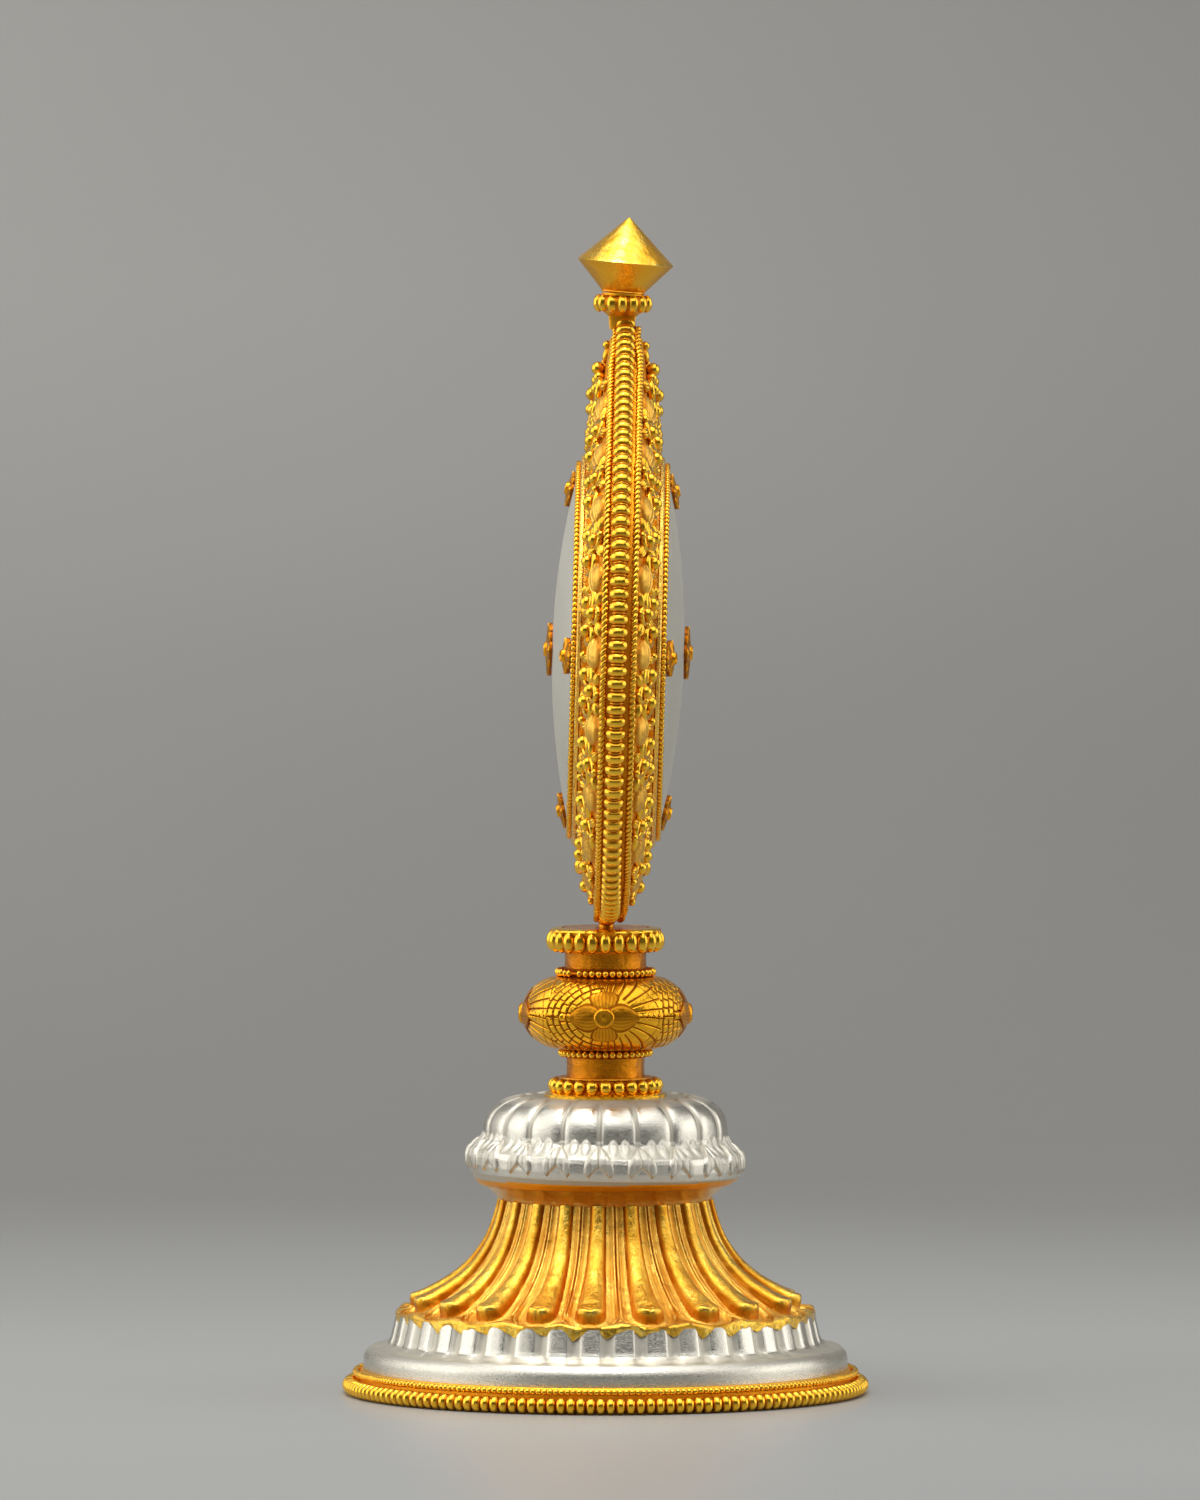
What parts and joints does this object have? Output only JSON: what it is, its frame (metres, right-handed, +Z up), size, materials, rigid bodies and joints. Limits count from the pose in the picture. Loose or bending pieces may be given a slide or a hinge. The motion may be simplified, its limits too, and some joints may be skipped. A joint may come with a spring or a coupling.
{
  "type": "ritual mirror",
  "caption": "Two-sided gilt mirror in a beaded drop-shaped frame with a jewel finial, set by a loose tang in a silver and gold lotus stand with a beaded foot.",
  "frame": {"origin": "centre of the plane that the foot rests on", "axes": "+Z up along the stand, mirror faces look along -Y and +Y, the head's width runs along X"},
  "size_m": [0.1166, 0.112, 0.2496],
  "materials": {
    "gold": "gilt, satin with fine brush marks",
    "red_gold": "matte gold wash",
    "silver": "hand-polished silver",
    "mirror_silver": "polished silver with fine scratches",
    "steel": "plain, hidden"
  },
  "bodies": {
    "stand": {"foot_flange": "gold", "foot_plate": "gold", "foot_bead_ring": "gold", "foot_rope_ring": "gold", "plinth": "silver", "lotus_skirt": "gold", "cup_throat": "red_gold", "lotus_cup": "silver", "lower_bead_collar": "gold", "lower_neck": "gold", "knop_lower_wire": "gold", "knop_lower": "gold", "knop_upper": "gold", "knop_flower_1": "gold", "knop_flower_2": "gold", "knop_flower_3": "gold", "knop_flower_4": "gold", "knop_upper_wire": "gold", "upper_neck": "gold", "socket_collar": "gold", "socket_cup": "gold", "tie_rod": "steel", "tie_washer": "steel", "tie_nut": "steel"},
    "tang": {"head_tang": "steel"},
    "mirror_head": {"tang_block": "steel", "rim_bead_wire": "gold", "frame_shell_front": "gold", "frame_shell_back": "gold", "rim_rope_front": "gold", "rim_rope_back": "gold", "bezel_band_front": "gold", "bezel_band_back": "gold", "bezel_wire_front": "gold", "bezel_wire_back": "gold", "mirror_front": "mirror_silver", "mirror_back": "mirror_silver", "flower_front_1": "gold", "flower_front_2": "gold", "flower_front_3": "gold", "flower_front_4": "gold", "flower_front_5": "gold", "flower_back_1": "gold", "flower_back_2": "gold", "flower_back_3": "gold", "flower_back_4": "gold", "flower_back_5": "gold", "finial_neck": "gold", "finial_bead_ring": "gold", "finial_jewel": "gold"}
  },
  "joints": [
    {"name": "mirror_lift", "type": "slide", "parent": "stand", "child": "tang", "axis": [0, 0.0262, 0.9997], "range_m": [0, 0.03]},
    {"name": "mirror_turn", "type": "hinge", "parent": "tang", "child": "mirror_head", "pos_m": [0, 0.00015, 0.0991], "axis": [0, 0.0262, 0.9997], "continuous": true}
  ]
}
